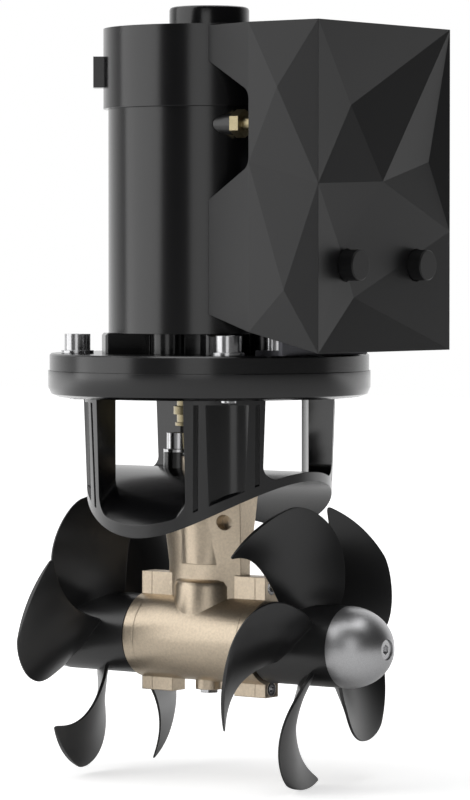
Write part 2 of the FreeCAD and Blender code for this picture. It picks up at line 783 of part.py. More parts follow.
# ---------------------------------------------------------------------------------------------
# Coupling and drive shaft
# ---------------------------------------------------------------------------------------------
PINION_BACK = "(pinion_bearing_height - 0.5)"
node("coupling_upper_hub", turned("CouplingUpperHub", [
    ("0", DISC_TOP),
    ("coupling_radius", DISC_TOP),
    ("coupling_radius", FLANGE_BOTTOM + " - coupling_flange_gap"),
    ("armature_shaft_radius", FLANGE_BOTTOM + " - coupling_flange_gap"),
    ("armature_shaft_radius", DISC_TOP + " + 1"),
    ("0", DISC_TOP + " + 1")]))
node("coupling_disc", turned("CouplingDisc", [
    ("0", COUPLING_FACE),
    ("coupling_disc_radius", COUPLING_FACE),
    ("coupling_disc_radius", DISC_TOP),
    ("0", DISC_TOP)]))
node("coupling_lower_hub", turned("CouplingLowerHub", [
    ("drive_shaft_radius", HUB_LIP + " - coupling_cone_height"),
    ("coupling_cone_radius - 2", HUB_LIP + " - coupling_cone_height"),
    ("coupling_cone_radius + 2", HUB_LIP + " - 2"),
    ("coupling_radius + 1", HUB_LIP + " - 2"),
    ("coupling_radius + 1", HUB_LIP),
    ("coupling_radius", HUB_LIP),
    ("coupling_radius", COUPLING_FACE),
    ("drive_shaft_radius", COUPLING_FACE)]))
node("drive_shaft", turned("DriveShaft", [
    ("0", PINION_BACK),
    ("drive_shaft_radius", PINION_BACK),
    ("drive_shaft_radius", COUPLING_FACE),
    ("0", COUPLING_FACE)]))

# ---------------------------------------------------------------------------------------------
# Gear leg
# ---------------------------------------------------------------------------------------------
TAPPED = "screw_radius"


def lens(name, half_length, half_width, end_half_width, height):
    """Cross-section of the strut: two shallow arcs joined by short straight ends."""
    sketch = doc.addObject("Sketcher::SketchObject", name)
    long, wide, end = size(half_length), size(half_width), size(end_half_width)
    sketch.addGeometry(Part.LineSegment(Vector(long, -end, 0), Vector(long, end, 0)), False)
    sketch.addGeometry(Part.Arc(Vector(long, end, 0), Vector(0, wide, 0), Vector(-long, end, 0)), False)
    sketch.addGeometry(Part.LineSegment(Vector(-long, end, 0), Vector(-long, -end, 0)), False)
    sketch.addGeometry(Part.Arc(Vector(-long, -end, 0), Vector(0, -wide, 0), Vector(long, -end, 0)), False)
    for i in range(4):
        sketch.addConstraint(Sketcher.Constraint("Coincident", i, 2, (i + 1) % 4, 1))
    for i, (x, y) in enumerate(((1, -1), (1, 1), (-1, 1), (-1, -1))):
        for kind, sign, alias in (("DistanceX", x, half_length), ("DistanceY", y, end_half_width)):
            index = sketch.addConstraint(Sketcher.Constraint(kind, -1, 1, i, 1, sign * size(alias)))
            sketch.setExpression("Constraints[%d]" % index, formula("%d * %s" % (sign, alias)))
    rise = "(%s - %s)" % (half_width, end_half_width)
    bow = "(%s * %s + %s * %s) / (2 * %s)" % (half_length, half_length, rise, rise, rise)
    for i in (1, 3):
        radius = (long * long + (wide - end) ** 2) / (2 * (wide - end))
        index = sketch.addConstraint(Sketcher.Constraint("Radius", i, radius))
        sketch.setExpression("Constraints[%d]" % index, formula(bow))
    return bind(sketch, z=height)


def strut():
    """Streamlined neck of the leg, flared towards the tunnel wall that it seats on."""
    loft = doc.addObject("Part::Loft", "StrutLoft")
    loft.Sections = [
        lens("StrutFoot", "strut_half_length", "strut_half_width", "strut_end_half_width", "10"),
        lens("StrutWaist", "strut_half_length", "strut_half_width", "strut_end_half_width",
             "strut_waist_height"),
        lens("StrutTop", "strut_top_half_length", "strut_top_half_width",
             "strut_top_end_half_width", "tunnel_radius")]
    loft.Solid = True
    loft.Ruled = True
    return common("Strut", loft, tunnel_rod("TunnelInside", "tunnel_radius"))


def lug(name, side, near, far):
    """Screw lugs above and below the gear housing, between two distances along the shaft."""
    def corners(near, far, slope, level):
        return [("%d * (%s)" % (side, x), z) for x, z in
                ((near, "%s * chamber_radius" % slope), (near, level), (far, level),
                 (far, "%s * chamber_radius" % slope))]
    return [slab(name + "Top", corners(near, far, "1.1", "lug_top"), "lug_width"),
            slab(name + "Bottom", corners(near, far, "-1.1", "-1 * lug_bottom_drop"), "lug_width")]


def lug_rods(name, radius, near, far):
    """Rods along the lug screws of both ends, between two distances along the shaft."""
    rods = []
    for i, side in enumerate(SIDES):
        levels = ("lug_top - lug_width / 2", "-1 * (lug_bottom_drop - lug_screw_offset)")
        for j, height in enumerate(levels):
            start = "%d * (%s)" % (side, near)
            rods.append(cylinder("%s%d%d" % (name, i, j), radius, "(%s) - (%s)" % (far, near),
                                 (start, 0, height), "X" if side > 0 else "-X"))
    return rods


def gear_leg():
    housing = cylinder("Housing", "housing_radius", "2 * housing_half_length",
                       ("-1 * housing_half_length", 0, 0), "X")
    bulge = turned("Bulge", [
        ("0", "0"),
        ("bulge_radius", "0"),
        ("bulge_radius", "bulge_height - 4"),
        ("bulge_radius - 1.2", "bulge_height - 1.2"),
        ("bulge_radius - 4", "bulge_height"),
        ("0", "bulge_height")])
    spigot = cylinder("Spigot", "spigot_radius", SPIGOT_TOP + " - tunnel_radius / 2",
                      (0, 0, "tunnel_radius / 2"))
    boss = cylinder("DrainBoss", "drain_boss_radius", "drain_boss_drop - chamber_radius - 1",
                    (0, 0, "-1 * drain_boss_drop"))
    lugs = []
    for i, side in enumerate(SIDES):
        lugs += lug("HousingLug%d" % i, side, "%s - lug_length" % CAP_FACE, "housing_half_length")
    spigot_top = common("SpigotTop", spigot, box("SpigotLimit", "4 * spigot_radius",
                        "4 * spigot_radius", SPIGOT_TOP, (0, 0, "strut_waist_height")))
    blank = fuse("LegBlank", housing, bulge, strut(), spigot_top, boss, *lugs)
    cuts = [
        cylinder("Chamber", "chamber_radius", "2 * housing_half_length + 2",
                 ("-1 * housing_half_length - 1", 0, 0), "X"),
        cylinder("PinionBore", "pinion_bearing_radius",
                 "pinion_bearing_height + pinion_bearing_width"),
        cylinder("ShaftBore", "drive_shaft_bore", SPIGOT_TOP + " + 1"),
        cylinder("SpigotBore", "spigot_bearing_radius", "2 * pinion_bearing_width",
                 (0, 0, SPIGOT_TOP + " - 2 * pinion_bearing_width")),
        cylinder("DrainHole", "drain_plug_radius - 1", "drain_boss_drop", (0, 0, "-1 * drain_boss_drop")),
        cylinder("LegRecess", "leg_recess_radius", "4 * strut_half_width",
                 ("leg_recess_x", "-1 * leg_recess_floor - 4 * strut_half_width", "leg_recess_z"), "Y"),
    ]
    cuts += [cylinder("LegTapping%d" % i, TAPPED, "saddle_screw_length",
                      ("%d * saddle_screw_offset" % side, 0, SADDLE_SCREW_TIP))
             for i, side in enumerate(SIDES)]
    cuts += lug_rods("LugTapping", "lug_screw_radius", "%s - lug_screw_head_height - lug_screw_length"
                     % CAP_FACE, "housing_half_length + 1")
    return cut("GearLeg", blank, *cuts)


SADDLE_SCREW_TIP = ("(%s + saddle_thickness + saddle_boss_height + washer_thickness"
                    " - saddle_screw_length)" % SADDLE)


def end_cap(index, side):
    cap = cylinder("CapDisc%d" % index, "housing_radius", "end_cap_thickness",
                   ("%d * housing_half_length" % side, 0, 0), "X" if side > 0 else "-X")
    lugs = lug("CapLug%d" % index, side, "housing_half_length", CAP_FACE)
    blank = fuse("CapBlank%d" % index, cap, *lugs)
    seal = cylinder("SealSeat%d" % index, "seal_radius", "end_cap_thickness + 2",
                    ("%d * (housing_half_length - 1)" % side, 0, 0), "X" if side > 0 else "-X")
    holes = lug_rods("CapHole%d_" % index, "lug_screw_radius + 0.2", "housing_half_length - 1",
                     CAP_FACE + " + 1")
    recesses = lug_rods("CapRecess%d_" % index, "lug_screw_head_radius + 0.2",
                        CAP_FACE + " - lug_screw_head_height", CAP_FACE + " + 1")
    return cut("EndCap%d" % index, blank, seal, *(holes + recesses))


def cap_screws():
    shanks = lug_rods("CapShank", "lug_screw_radius",
                      CAP_FACE + " - lug_screw_head_height - lug_screw_length",
                      CAP_FACE + " - lug_screw_head_height + 1")
    heads = lug_rods("CapHead", "lug_screw_head_radius", CAP_FACE + " - lug_screw_head_height",
                     CAP_FACE)
    sockets = lug_rods("CapSocket", "lug_screw_radius", CAP_FACE + " - lug_screw_head_height / 2",
                       CAP_FACE + " + 1")
    return group("CapScrews", [
        cut("CapScrew%d" % i, fuse("CapScrewBlank%d" % i, shank, head), socket)
        for i, (shank, head, socket) in enumerate(zip(shanks, heads, sockets))])


def drain_plug():
    head = hexagon("DrainHead", "drain_plug_radius + 2", "drain_plug_head",
                   (0, 0, "-1 * drain_boss_drop - drain_plug_head"))
    shank = cylinder("DrainShank", "drain_plug_radius - 1", "8", (0, 0, "-1 * drain_boss_drop - 1"))
    return fuse("DrainPlug", head, shank)


node("gear_leg", gear_leg())
node("end_cap_far", end_cap(0, -1))
node("end_cap_near", end_cap(1, 1))
node("end_cap_screws", cap_screws())
node("drain_plug", drain_plug())
DRIVE_CLEAR = "drive_shaft_radius + shaft_clearance"
node("pinion_bearing", ring("PinionBearing", DRIVE_CLEAR, "pinion_bearing_radius",
                            "pinion_bearing_height",
                            "pinion_bearing_height + pinion_bearing_width"))
node("upper_shaft_bearing", ring("UpperShaftBearing", DRIVE_CLEAR, "spigot_bearing_radius",
                                 SPIGOT_TOP + " - 2 * pinion_bearing_width",
                                 SPIGOT_TOP + " - pinion_bearing_width"))
node("upper_shaft_seal", ring("UpperShaftSeal", DRIVE_CLEAR, "spigot_bearing_radius",
                              SPIGOT_TOP + " - pinion_bearing_width", SPIGOT_TOP))
PROP_CLEAR = "shaft_radius + shaft_clearance"
for word, side in (("far", -1), ("near", 1)):
    stem = word.capitalize()
    low = "%d * (housing_half_length - bearing_width)" % side
    node("shaft_bearing_" + word, ring(stem + "ShaftBearing", PROP_CLEAR, "chamber_radius",
                                       low, "%d * housing_half_length" % side, "X"))
    node("shaft_seal_" + word, ring(stem + "ShaftSeal", PROP_CLEAR, "seal_radius",
                                    "%d * housing_half_length" % side,
                                    "%d * %s" % (side, CAP_FACE), "X"))

# ---------------------------------------------------------------------------------------------
# Bevel gears: straight teeth that all taper to the point where the two axes cross
# ---------------------------------------------------------------------------------------------
PRESSURE_ANGLE = math.radians(20)


def bevel_gear(teeth, mate_teeth, back, bore, first_tooth):
    """A bevel gear about +Z with its cone's point at the origin."""
    module = size("gear_module")
    radius = module * teeth / 2
    distance = module * mate_teeth / 2
    cone_length = math.hypot(radius, distance)
    angle = math.atan2(radius, distance)
    inner = 1 - size("gear_face") / cone_length
    addendum = module
    dedendum = 1.25 * module

    def rim(offset):
        """Radius and height of a point that far outside the pitch cone at its large end."""
        return radius + offset * math.cos(angle), distance - offset * math.sin(angle)

    root_radius, root_height = rim(-dedendum)
    profile = [(bore, inner * root_height), (inner * root_radius, inner * root_height),
               (root_radius, root_height), (root_radius, back), (bore, back)]
    points = [Vector(r, 0, z) for r, z in profile]
    blank = Part.Face(Part.makePolygon(points + points[:1])).revolve(
        Vector(0, 0, 0), Vector(0, 0, 1), 360)
    half = math.pi * module / 4 - size("gear_backlash") / 2

    def end(scale):
        corners = []
        for offset, sign in ((-dedendum - 0.4, -1), (addendum, -1), (addendum, 1),
                             (-dedendum - 0.4, 1)):
            r, z = rim(offset)
            corners.append(Vector(r, sign * (half - offset * math.tan(PRESSURE_ANGLE)), z) * scale)
        return corners

    large, small = end(1.0), end(inner)
    faces = [large, small[::-1]]
    faces += [[small[i], small[(i + 1) % 4], large[(i + 1) % 4], large[i]] for i in range(4)]
    tooth = Part.Solid(Part.Shell([Part.Face(Part.makePolygon(face + face[:1])) for face in faces]))
    if tooth.Volume < 0:
        tooth.reverse()
    wheel = []
    for i in range(teeth):
        copy = tooth.copy()
        copy.rotate(Vector(0, 0, 0), Vector(0, 0, 1), first_tooth + 360 * i / teeth)
        wheel.append(copy)
    return blank.multiFuse(wheel).removeSplitter()


PINION_TEETH = int(size("pinion_teeth"))
CROWN_TEETH = int(size("crown_teeth"))
node("pinion_gear", solid_feature("PinionGear", bevel_gear(
    PINION_TEETH, CROWN_TEETH, size("pinion_bearing_height") - 0.5, 0.0, 0.0)))
crown = bevel_gear(CROWN_TEETH, PINION_TEETH,
                   size("housing_half_length") - size("bearing_width") - 1,
                   size("shaft_radius"), 0.0)
node("crown_gear", solid_feature("CrownGear", crown)).Placement = Placement(Vector(), TURN["X"])

# ---------------------------------------------------------------------------------------------
# Propeller shaft, propellers and anodes
# ---------------------------------------------------------------------------------------------


def blade_edges(radius):
    """Angle in degrees and distance along the shaft of a blade's two edges at a radius.

    The inboard edge is hollow and runs out to a pointed tip; the outboard edge sweeps back."""
    hub = size("propeller_hub_radius")
    share = (radius - hub) / (size("propeller_radius") - hub)
    inboard = (-7.7 - 15.8 * share + 27.9 * share ** 2 + 2.4 * share ** 5,
               size("blade_inboard") - 9.2 * share + 7.8 * share ** 2)
    outboard = (-size("blade_sweep") + 12.2 * share + 22.9 * share ** 4,
                size("blade_outboard") + 4.3 * share - 15.7 * share ** 2)
    return inboard, outboard


def blade():
    """One blade: two smooth faces over a twisted surface, closed by narrow edges."""
    tip = size("propeller_radius")
    low = size("propeller_hub_radius") - size("blade_root_depth")
    rows, tip_rows, across = 6, 4, 5
    corner = size("blade_tip_round")
    radii = [(low + (tip - corner - low) * i / rows, 0.0) for i in range(rows)]
    radii += [(tip - corner + corner * math.sin(math.pi / 2 * i / tip_rows),
               corner * (1 - math.cos(math.pi / 2 * i / tip_rows))) for i in range(tip_rows + 1)]
    faces = {1: [], -1: []}
    for radius, inset in radii:
        (start, near), (stop, far) = blade_edges(radius)
        lead = (far - near) / math.radians(start - stop)
        share = inset / math.hypot(far - near, radius * math.radians(start - stop))
        start, stop = start + (stop - start) * share, stop - (stop - start) * share
        near, far = near + (far - near) * share, far - (far - near) * share
        rise = (radius - low) / (tip - low)
        thick = size("blade_root_thickness") * (1 - rise) + size("blade_tip_thickness") * rise
        for side in faces:
            line = []
            for j in range(across):
                share = j / (across - 1)
                turn = math.radians(start + (stop - start) * share)
                bulge = side * thick / 2 * (0.35 + 2.6 * share * (1 - share))
                slope = math.hypot(lead, radius)
                x = near + (far - near) * share + bulge * radius / slope
                around = turn + bulge * lead / slope / radius
                line.append(Vector(x, radius * math.cos(around), radius * math.sin(around)))
            faces[side].append(line)
    skins = {}
    for side, grid in faces.items():
        surface = Part.BSplineSurface()
        surface.interpolate(grid)
        skins[side] = surface
    shell = [skins[1].toShape(), skins[-1].toShape()]
    for along, at_end in ((True, 0), (True, 1), (False, 2), (False, 3)):
        curves = [(skins[side].uIso if along else skins[side].vIso)(skins[side].bounds()[at_end])
                  for side in skins]
        shell.append(Part.makeRuledSurface(curves[0].toShape(), curves[1].toShape()))
    sewn = Part.makeShell(shell)
    sewn.sewShape()
    solid = Part.Solid(sewn)
    if solid.Volume < 0:
        solid.reverse()
    return solid


def propeller(first_blade):
    """A propeller as it sits on the +X end of the shaft, its first blade turned by an angle."""
    face, end = length(HUB_FACE), length(HUB_END)
    axis = Vector(1, 0, 0)
    hub = Part.makeCylinder(size("propeller_hub_radius"), end - face, Vector(face, 0, 0), axis)
    blades = []
    for i in range(int(size("propeller_blades"))):
        copy = blade()
        copy.rotate(Vector(0, 0, 0), axis, first_blade + 360 * i / size("propeller_blades"))
        blades.append(copy)
    shape = hub.multiFuse(blades)
    bore = Part.makeCylinder(size("shaft_radius") + 0.02, end - face + 2, Vector(face - 1, 0, 0), axis)
    room = size("nut_pocket_clearance")
    pocket = size("shaft_nut_height") + room
    recess = Part.makeCylinder(size("shaft_nut_radius") + room, pocket + 1,
                               Vector(end - pocket, 0, 0), axis)
    deep = size("drive_pin_offset") + size("drive_pin_radius") + 0.1
    wide = 2 * size("drive_pin_radius") + 0.2
    tall = size("drive_pin_length") + 0.4
    slot = Part.makeBox(deep + 1, wide, tall, Vector(face - 1, -wide / 2, -tall / 2))
    return shape.cut([bore, recess, slot])


node("propeller_near", solid_feature("PropellerNear", propeller(size("near_blade_angle"))))
shape = propeller(size("far_blade_angle"))
shape.rotate(Vector(0, 0, 0), Vector(0, 0, 1), 180)
node("propeller_far", solid_feature("PropellerFar", shape))


def propeller_shaft():
    bar = cylinder("ShaftBar", "shaft_radius", "2 * shaft_end", ("-1 * shaft_end", 0, 0), "X")
    holes = []
    for i, side in enumerate(SIDES):
        along = "X" if side > 0 else "-X"
        holes.append(cylinder("PinHole%d" % i, "drive_pin_radius", "4 * shaft_radius",
                              ("%d * (%s + drive_pin_offset)" % (side, HUB_FACE), 0,
                               "-2 * shaft_radius")))
        holes.append(cylinder("EndTapping%d" % i, "anode_screw_radius", "20",
                              ("%d * (shaft_end - 14)" % side, 0, 0), along))
    return cut("PropellerShaft", bar, *holes)


def drive_pins():
    return group("DrivePins", [
        cylinder("DrivePin%d" % i, "drive_pin_radius", "drive_pin_length",
                 ("%d * (%s + drive_pin_offset)" % (side, HUB_FACE), 0, "-1 * drive_pin_length / 2"))
        for i, side in enumerate(SIDES)])


def shaft_nuts():
    nuts = []
    for i, side in enumerate(SIDES):
        along = "X" if side > 0 else "-X"
        start = "%d * (%s - shaft_nut_height - nut_pocket_clearance)" % (side, HUB_END)
        nuts.append(cut("ShaftNut%d" % i,
                        hexagon("ShaftNutHex%d" % i, "shaft_nut_radius", "shaft_nut_height",
                                (start, 0, 0), along),
                        cylinder("ShaftNutBore%d" % i, "shaft_radius", "shaft_nut_height + 2",
                                 ("%s - %d" % (start, side), 0, 0), along)))
    return group("ShaftNuts", nuts)


def anode(index, side):
    """Zinc dome over the end of a propeller hub, hollow where the shaft's end reaches in."""
    along = "X" if side > 0 else "-X"
    dome = primitive("Part::Ellipsoid", "AnodeDome%d" % index, along,
                     ("%d * %s" % (side, HUB_END), 0, 0), Radius1="anode_length",
                     Radius2="propeller_hub_radius", Radius3="propeller_hub_radius")
    dome.Angle1 = 0
    room = cylinder("AnodeRoom%d" % index, "shaft_radius + 1", "shaft_end - %s + 1 + 1" % HUB_END,
                    ("%d * (%s - 1)" % (side, HUB_END), 0, 0), along)
    hole = cylinder("AnodeHole%d" % index, "anode_screw_radius + 0.2", "2 * anode_length",
                    ("%d * %s" % (side, HUB_END), 0, 0), along)
    recess = cylinder("AnodeRecess%d" % index, "anode_screw_head_radius + 0.2", "10",
                      ("%d * %s" % (side, ANODE_SEAT), 0, 0), along)
    return cut("Anode%d" % index, dome, room, hole, recess)


ANODE_SEAT = "(%s + anode_length - 5)" % HUB_END


def anode_screws():
    screws = []
    for i, side in enumerate(SIDES):
        along = "X" if side > 0 else "-X"
        head = cylinder("AnodeHead%d" % i, "anode_screw_head_radius", "3",
                        ("%d * %s" % (side, ANODE_SEAT), 0, 0), along)
        shank = cylinder("AnodeShank%d" % i, "anode_screw_radius", "%s - shaft_end + 11" % ANODE_SEAT,
                         ("%d * (shaft_end - 10)" % side, 0, 0), along)
        socket = hexagon("AnodeSocket%d" % i, "anode_screw_radius", "3",
                         ("%d * (%s + 1)" % (side, ANODE_SEAT), 0, 0), along)
        screws.append(cut("AnodeScrew%d" % i, fuse("AnodeScrewBlank%d" % i, head, shank), socket))
    return group("AnodeScrews", screws)


node("propeller_shaft", propeller_shaft())
node("drive_pins", drive_pins())
node("shaft_nuts", shaft_nuts())
node("thrust_washers", group("ThrustWashers", [
    ring("ThrustWasher%d" % i, "shaft_radius", "thrust_washer_radius",
         "%d * (%s + thrust_washer_gap)" % (side, CAP_FACE), "%d * %s" % (side, HUB_FACE), "X")
    for i, side in enumerate(SIDES)]))
node("anode_far", anode(0, -1))
node("anode_near", anode(1, 1))
node("anode_screws", anode_screws())

# ---------------------------------------------------------------------------------------------
# Electronics: contactor on its bracket, faceted cover and the two knobs that hold it
# ---------------------------------------------------------------------------------------------


def contactor_bracket():
    """Bent plate screwed to the motor flange; the contactor and the cover hang on it."""
    back = PLATE_FRONT + " - bracket_plate / 2"
    plate = box("BracketPlate", "bracket_plate", "2 * plate_half_width", "plate_height",
                (back, 0, FLANGE_TOP))
    foot = box("BracketFoot", "foot_length + bracket_plate", "2 * plate_half_width - 8",
               "bracket_plate", (PLATE_FRONT + " - (foot_length + bracket_plate) / 2", 0, FLANGE_TOP))
    holes = [cylinder("FootHole%d" % i, "screw_radius + 0.3", "20", (x, y, FLANGE_TOP + " - 5"))
             for i, (x, y) in enumerate(foot_points())]
    return cut("ContactorBracket", fuse("BracketBent", plate, foot), *holes)


def cover_hull(name, front, half_width, corner, rear, rear_half_width, top, bottom):
    """Closed hull of the cover: a box with triangular facets on its front and sides."""
    rise = size("cover_rise")
    base = length(COVER_BASE)
    tall = length(COVER_TOP) - base
    dent, ridge = size("facet_depth"), size("facet_ridge")

    def floor(x):
        return bottom + rise * (length(COVER_FRONT) - x)

    def level(share):
        return base + share * tall

    def at_front(across, share, depth):
        return Vector(front - depth * dent, across * half_width, level(share))

    def at_side(side, along, share):
        return Vector(corner + along * (front - corner), side * (half_width + ridge), level(share))

    mid = {-1: Vector(front, -half_width, level(0.51)), 1: Vector(front, half_width, level(0.37))}
    edge = {}
    for side in SIDES:
        for tag, x, y in (("F", front, half_width), ("L", corner, half_width),
                          ("B", rear, rear_half_width)):
            edge[tag, side, "top"] = Vector(x, side * y, top)
            edge[tag, side, "low"] = Vector(x, side * y, floor(x))
    upper = at_front(-0.416, 0.75, 1.0)
    centre = at_front(-0.04, 0.52, 0.0)
    right = at_front(0.75, 0.585, 0.8)
    left = at_front(-0.60, 0.31, 0.7)
    lower = at_front(-0.374, 0.166, 1.0)
    near_top, near_low = edge["F", -1, "top"], edge["F", -1, "low"]
    far_top, far_low = edge["F", 1, "top"], edge["F", 1, "low"]
    faces = [
        (near_top, upper, mid[-1]), (near_top, far_top, upper), (far_top, centre, upper),
        (mid[-1], upper, centre), (far_top, right, centre), (far_top, mid[1], right),
        (right, mid[1], centre), (mid[-1], centre, left), (mid[-1], left, near_low),
        (left, lower, near_low), (left, centre, mid[1]), (left, mid[1], lower),
        (lower, mid[1], far_low), (lower, far_low, near_low)]
    for side in SIDES:
        back_mid = Vector(corner, side * half_width, level(0.575))
        peak = at_side(side, 0.46, 0.80)
        knee = at_side(side, 0.556, 0.19)
        front_top, front_low = edge["F", side, "top"], edge["F", side, "low"]
        back_top, back_low = edge["L", side, "top"], edge["L", side, "low"]
        faces += [
            (front_top, peak, mid[side]), (front_top, back_top, peak), (back_top, back_mid, peak),
            (peak, back_mid, mid[side]), (back_mid, knee, mid[side]), (back_mid, back_low, knee),
            (knee, back_low, front_low), (knee, front_low, mid[side]),
            (back_top, edge["B", side, "top"], edge["B", side, "low"], back_low, back_mid)]
    for tag in ("top", "low"):
        faces.append([edge[key, -1, tag] for key in "FLB"] + [edge[key, 1, tag] for key in "BLF"])
    faces.append([edge["B", 1, "top"], edge["B", 1, "low"], edge["B", -1, "low"], edge["B", -1, "top"]])
    shell = Part.makeShell([Part.Face(Part.makePolygon(list(face) + [face[0]])) for face in faces])
    shell.sewShape()
    solid = Part.Solid(shell)
    if solid.Volume < 0:
        solid.reverse()
    return solid_feature(name, solid)


def electronics_cover():
    wall = size("cover_wall")
    top = length(COVER_TOP)
    face = length(COVER_FRONT)
    outer = cover_hull("CoverHull", face, size("cover_half_width"),
                       size("cover_corner"), size("cover_rear"), size("cover_rear_half_width"),
                       top, length(COVER_BASE))
    inner = cover_hull("CoverRoom", face - wall, size("cover_half_width") - wall,
                       size("cover_corner") - wall / 3, size("cover_rear") - wall,
                       size("cover_rear_half_width") - wall, top - wall, length(COVER_BASE) - 3 * wall)
    motor = cylinder("CoverMotorRoom", "band_radius + cover_gap", "4 * motor_length",
                     (0, 0, COVER_BASE + " - 20"))
    high = "(%s - cutout_drop)" % COVER_TOP
    low = "(%s - cutout_height)" % high
    opening = slab("CutOut", [
        ("cover_rear - 10", low + " - 4"), ("cover_rear", low),
        ("cover_corner", low + " + cutout_shoulder"), ("cover_corner", high + " - cutout_shoulder"),
        ("cover_rear", high), ("cover_rear - 10", high + " + 4")],
        "4 * cover_half_width")
    opening = rounded("CutOutRounded", opening, "cutout_round",
                      lambda edge: abs(edge.CenterOfMass.x - size("cover_corner")) < 0.1
                      and abs(edge.CenterOfMass.y) < 0.1 and edge.BoundBox.YLength > 1)
    shell = cut("CoverShell", outer, inner)
    bosses, seats = [], []
    for i, side in enumerate(SIDES):
        place = ("%d * knob_offset" % side, KNOB_LEVEL)
        seat = KNOB_REACH + " - knob_length"
        bosses.append(common("KnobBoss%d" % i, cover_hull(
            "BossHull%d" % i, face, size("cover_half_width"), size("cover_corner"),
            size("cover_rear"), size("cover_rear_half_width"), top, length(COVER_BASE)),
            cylinder("KnobBossRod%d" % i, "knob_radius + 4", "20", (seat + " - cover_wall",) + place,
                     "X")))
        seats.append(cylinder("KnobSeat%d" % i, "knob_radius + 0.6", "20", (seat,) + place, "X"))
        seats.append(cylinder("KnobHole%d" % i, "stud_radius + 0.3", "40", (seat + " - 20",) + place,
                              "X"))
    bossed = fuse("CoverBossed", shell, *bosses)
    return cut("ElectronicsCover", bossed, motor, opening, *seats)


def cover_studs():
    return group("CoverStuds", [
        cylinder("CoverStud%d" % i, "stud_radius", "%s - %s - 4" % (KNOB_REACH, PLATE_FRONT),
                 (PLATE_FRONT, "%d * knob_offset" % side, KNOB_LEVEL), "X")
        for i, side in enumerate(SIDES)])


def cover_knob(index, side):
    """Round nut that a hand turns to free the cover."""
    place = ("%d * knob_offset" % side, KNOB_LEVEL)
    start = KNOB_REACH + " - knob_length"
    face = length(KNOB_REACH)
    disc = doc.addObject("Part::Chamfer", "KnobChamfer%d" % index)
    disc.Base = cylinder("KnobDisc%d" % index, "knob_radius", "knob_length", (start,) + place, "X")
    outer = edges_of(disc.Base, lambda edge: edge.CenterOfMass.x > face - 0.1
                     and edge.BoundBox.XLength < 0.1)
    disc.Edges = [(number, 0.6, 0.6) for number in outer]
    return cut("Knob%d" % index, disc,
               cylinder("KnobBore%d" % index, "stud_radius + shaft_clearance", "knob_length - 2",
                        ("%s - 1" % start,) + place, "X"))


def contactor():
    body = box("ContactorCase", "contactor_depth", "2 * contactor_half_width", "contactor_height",
               (PLATE_FRONT + " + contactor_depth / 2", 0, CONTACTOR_LEVEL))
    return body


def contactor_studs():
    return group("ContactorStuds", [
        cylinder("ContactorStud%d" % i, "contactor_stud_radius", "contactor_stud_height",
                 (PLATE_FRONT + " + contactor_depth / 2", "%d * contactor_half_width / 2" % side,
                  CONTACTOR_LEVEL + " + contactor_height"))
        for i, side in enumerate(SIDES)])


node("contactor_bracket", contactor_bracket())
node("bracket_screws", group("BracketScrews", [
    socket_screw("BracketFootScrew%d" % i, x, y, FLANGE_TOP + " + bracket_plate",
                 "bracket_plate + foot_screw_grip")
    for i, (x, y) in enumerate(foot_points())]))
node("contactor", contactor())
node("contactor_studs", contactor_studs())
node("electronics_cover", electronics_cover())
node("cover_studs", cover_studs())
node("cover_knob_left", cover_knob(0, -1))
node("cover_knob_right", cover_knob(1, 1))

# ---------------------------------------------------------------------------------------------
# Check everything, then write one STEP file for each piece
# ---------------------------------------------------------------------------------------------
doc.recompute()
for item in doc.Objects:
    if "Invalid" in item.State or "Error" in item.State:
        raise RuntimeError("%s failed: %s" % (item.Name, item.State))
for label, item in NODES.items():
    if item.Shape.isNull() or not item.Shape.isValid() or not item.Shape.Solids:
        raise RuntimeError("%s has no valid solid" % label)
os.makedirs("parts", exist_ok=True)
for label, item in NODES.items():
    item.Shape.exportStep("parts/%s.step" % label)
    print("%-22s %2d solids %10.0f mm3" % (label, len(item.Shape.Solids), item.Shape.Volume))
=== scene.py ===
"""Bow thruster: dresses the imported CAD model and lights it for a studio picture."""

import json
import math

import bpy
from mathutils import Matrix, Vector


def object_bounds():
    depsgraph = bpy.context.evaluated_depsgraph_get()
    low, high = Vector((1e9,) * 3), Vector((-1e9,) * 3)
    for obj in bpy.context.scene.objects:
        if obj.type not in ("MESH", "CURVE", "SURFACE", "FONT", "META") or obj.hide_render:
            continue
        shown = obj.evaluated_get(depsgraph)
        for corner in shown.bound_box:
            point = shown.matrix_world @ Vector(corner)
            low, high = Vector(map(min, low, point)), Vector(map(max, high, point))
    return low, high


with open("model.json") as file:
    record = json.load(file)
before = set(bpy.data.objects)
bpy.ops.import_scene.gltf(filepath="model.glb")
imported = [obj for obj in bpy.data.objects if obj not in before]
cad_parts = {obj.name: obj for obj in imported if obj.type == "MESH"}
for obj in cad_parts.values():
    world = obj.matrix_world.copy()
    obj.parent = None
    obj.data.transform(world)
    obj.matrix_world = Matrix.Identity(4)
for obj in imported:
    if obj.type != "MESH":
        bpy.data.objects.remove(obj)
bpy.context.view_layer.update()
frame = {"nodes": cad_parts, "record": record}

# ---------------------------------------------------------------------------------------------
# Camera: a long lens that looks at the cover's corner, nearly level
# ---------------------------------------------------------------------------------------------
VIEW_SIDE = math.radians(37)        # how far round from the motor's left side towards the cover
CAMERA_DISTANCE = 2.46
CAMERA_HEIGHT = 0.2297
LENS_LENGTHS = 5.0                  # focal length over the picture's height
AIM_RIGHT = 0.0064
AIM_DOWN = 0.0338
SENSOR = 36.0


